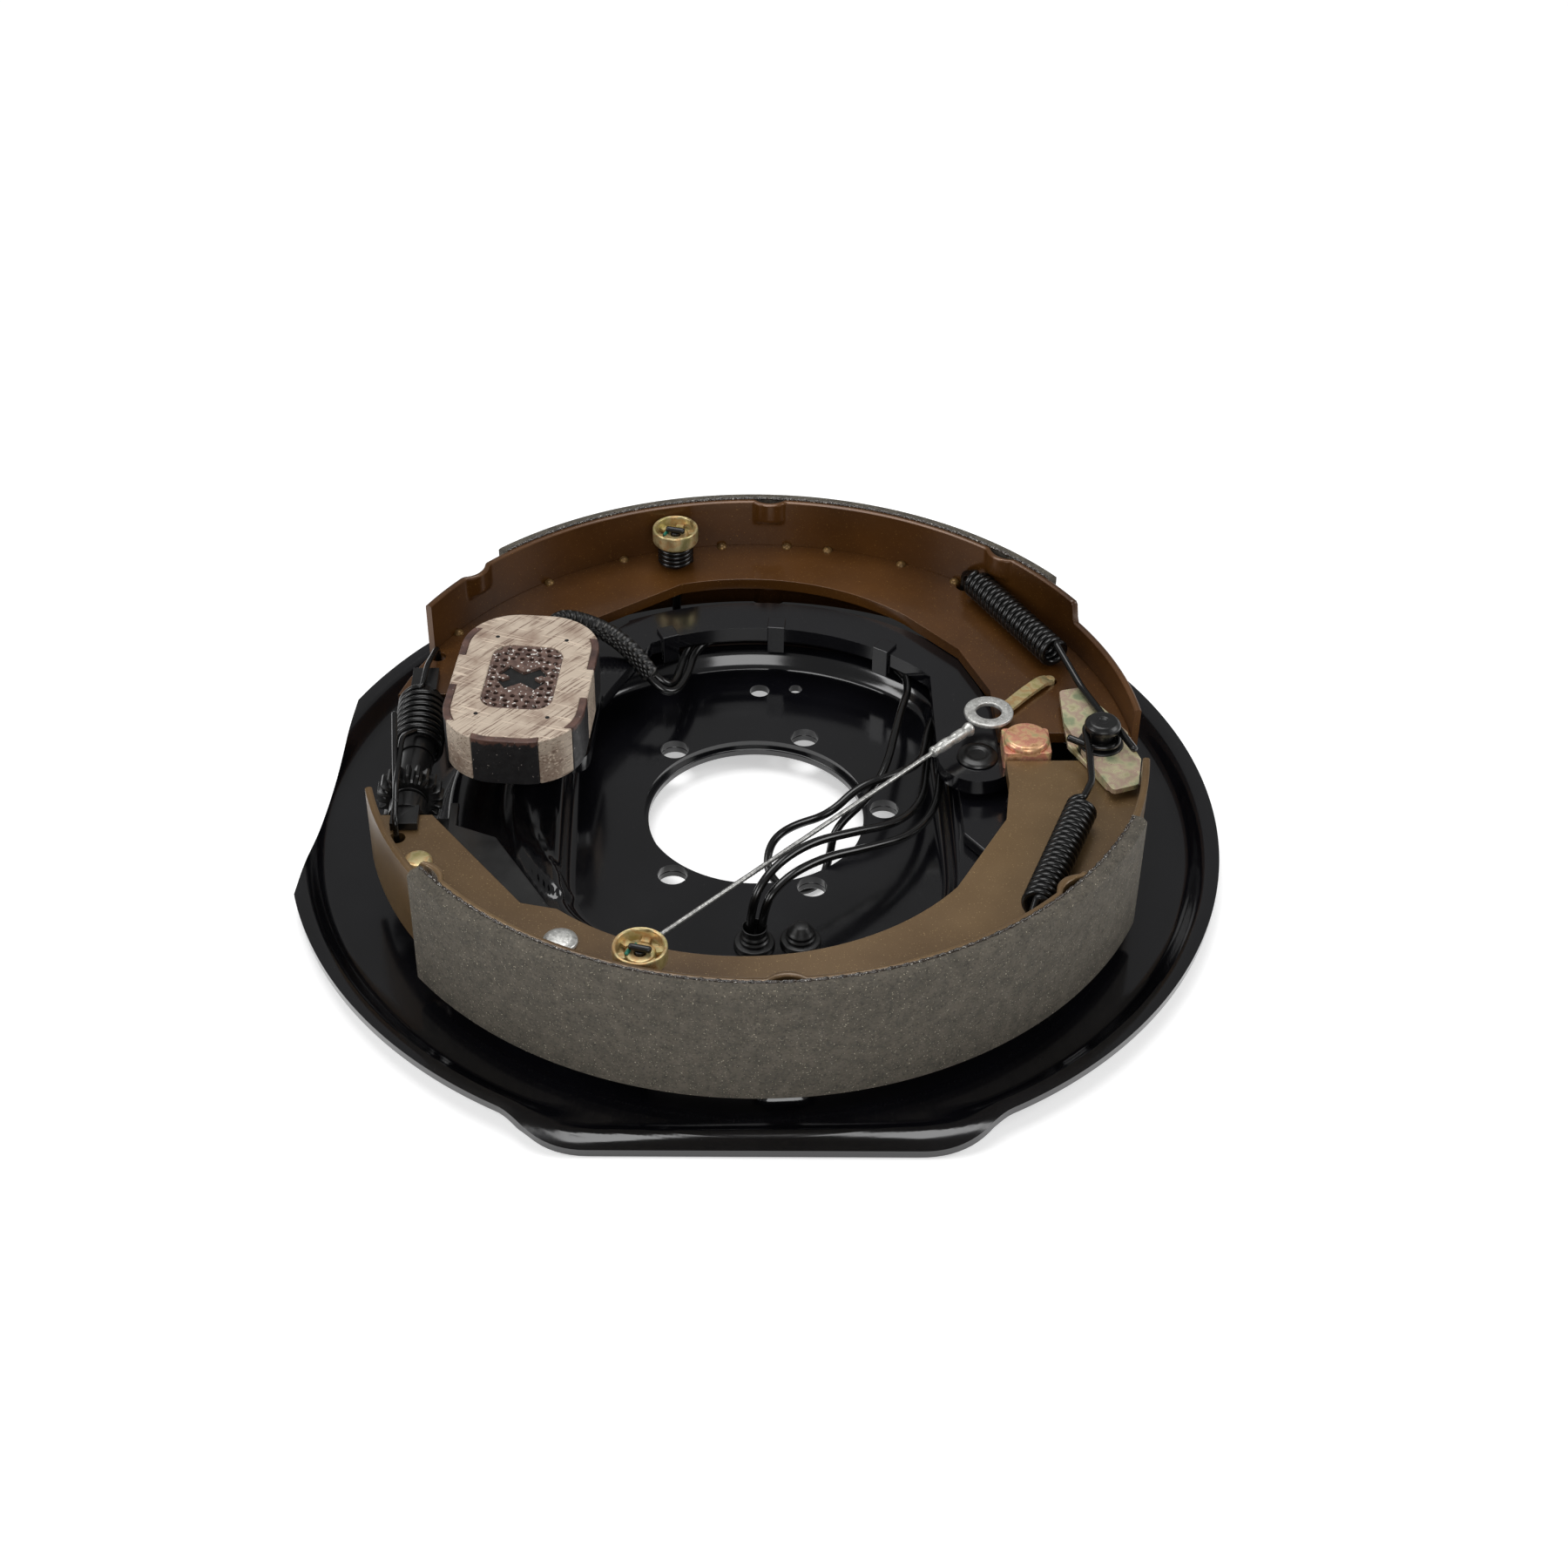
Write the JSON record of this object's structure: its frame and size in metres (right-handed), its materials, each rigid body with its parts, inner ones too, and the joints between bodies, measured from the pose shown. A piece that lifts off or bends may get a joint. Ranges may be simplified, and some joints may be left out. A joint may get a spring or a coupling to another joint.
{
  "type": "electric trailer brake",
  "caption": "Round electric trailer brake: black stamped backing plate, paired lined shoes, springs, a magnet on a swinging lever and a self-adjusting star wheel.",
  "frame": {"origin": "centre of the hub bore, in the plate's mounting face, which rests on the axle's flange", "axes": "+Z along the brake axis towards the drum, +X towards the anchor post, +Y towards the primary shoe"},
  "size_m": [0.3482, 0.3459, 0.0605],
  "materials": {
    "plate_paint": "black paint, semi-gloss",
    "black_steel": "black phosphate and oil",
    "spring_black": "black lacquered wire",
    "yellow_zinc": "yellow chromate over zinc",
    "bright_zinc": "bright zinc",
    "shoe_coating": "thin bronze-brown coating",
    "lining": "moulded friction material, ground",
    "rubber": "black rubber",
    "magnet_steel": "ground steel, lightly stained",
    "potting": "dark potting compound",
    "winding": "enamelled winding",
    "cable_steel": "twisted steel strand",
    "lead_black": "black insulation",
    "braid": "woven sleeve"
  },
  "bodies": {
    "plate": {"backing_plate": "plate_paint", "hub_ring": "plate_paint", "adjusting_slot_plug": "rubber", "lead_grommet": "rubber", "spare_grommet": "rubber", "anchor_plate": "plate_paint", "anchor_post": "black_steel", "guide_plate_lower": "yellow_zinc", "guide_plate_upper": "yellow_zinc", "lever_pivot_stud": "black_steel", "hold_down_pins": "black_steel", "hold_down_cups": "yellow_zinc", "hold_down_springs": "spring_black", "primary_retractor_spring": "spring_black", "secondary_retractor_spring": "spring_black", "adjuster_socket": "black_steel", "adjuster_spring": "spring_black", "lead_wire_a": "lead_black", "lead_wire_b": "lead_black"},
    "magnet_lever": {"lever_arm": "black_steel", "lever_block": "yellow_zinc", "block_rivet": "bright_zinc", "wire_clips": "black_steel", "magnet_stud": "bright_zinc", "magnet_spring": "spring_black", "lead_sleeve": "braid"},
    "magnet": {"magnet_body": "magnet_steel", "magnet_insert": "magnet_steel", "magnet_coil": "winding", "magnet_potting": "potting"},
    "primary_shoe": {"primary_table": "shoe_coating", "primary_web": "shoe_coating", "primary_lining": "lining", "cable_hook": "bright_zinc", "cable_eyelet": "bright_zinc", "cable_ferrule": "bright_zinc", "adjuster_cable": "cable_steel"},
    "secondary_shoe": {"secondary_table": "shoe_coating", "secondary_web": "shoe_coating", "secondary_lining": "lining", "pawl_rivet": "bright_zinc", "stop_rivet": "yellow_zinc"},
    "adjuster_lever": {"adjuster_lever": "black_steel"},
    "star_wheel": {"star_wheel": "black_steel"},
    "adjuster_nut": {"adjuster_nut": "black_steel"}
  },
  "joints": [
    {"name": "magnet_lever_swing", "type": "hinge", "parent": "plate", "child": "magnet_lever", "pos_m": [0.0843, 0.0045, 0.0247], "axis": [0, 0, 1], "range_deg": [0, 3.5], "deforming": ["lead_wire_a", "lead_wire_b"]},
    {"name": "magnet_slide", "type": "slide", "parent": "magnet_lever", "child": "magnet", "axis": [0, 0, 1], "range_m": [-0.003, 0], "stiffness_N_per_m": 4000, "springref_m": 0.001, "deforming": ["magnet_spring"]},
    {"name": "primary_shoe_swing", "type": "hinge", "parent": "plate", "child": "primary_shoe", "pos_m": [-0.1285, 0.039, 0.0304], "axis": [0, 0, 1], "range_deg": [0, 0.41], "deforming": ["primary_retractor_spring", "adjuster_cable"]},
    {"name": "secondary_shoe_swing", "type": "hinge", "parent": "plate", "child": "secondary_shoe", "pos_m": [0.13, 0, 0.0304], "axis": [0, 0, 1], "range_deg": [0, 0.67], "deforming": ["secondary_retractor_spring", "adjuster_spring"]},
    {"name": "adjuster_lever_swing", "type": "hinge", "parent": "secondary_shoe", "child": "adjuster_lever", "pos_m": [-0.0691, -0.1037, 0.0238], "axis": [0, 0, 1], "range_deg": [0, 1.75]},
    {"name": "star_wheel_turn", "type": "hinge", "parent": "plate", "child": "star_wheel", "pos_m": [-0.1285, -0.02, 0.0304], "axis": [0, 1, 0], "range_deg": [0, 720]},
    {"name": "adjuster_nut_slide", "type": "slide", "parent": "plate", "child": "adjuster_nut", "axis": [0, -1, 0], "range_m": [0, 0.003]}
  ],
  "couplings": [
    {"joint": "primary_shoe_swing", "follows": "magnet_lever_swing", "ratio": 0.115},
    {"joint": "adjuster_lever_swing", "follows": "magnet_lever_swing", "ratio": 0.5},
    {"joint": "adjuster_nut_slide", "follows": "star_wheel_turn", "m_per_rad": 0.00023873},
    {"joint": "secondary_shoe_swing", "follows": "star_wheel_turn", "ratio": 0.000925}
  ]
}
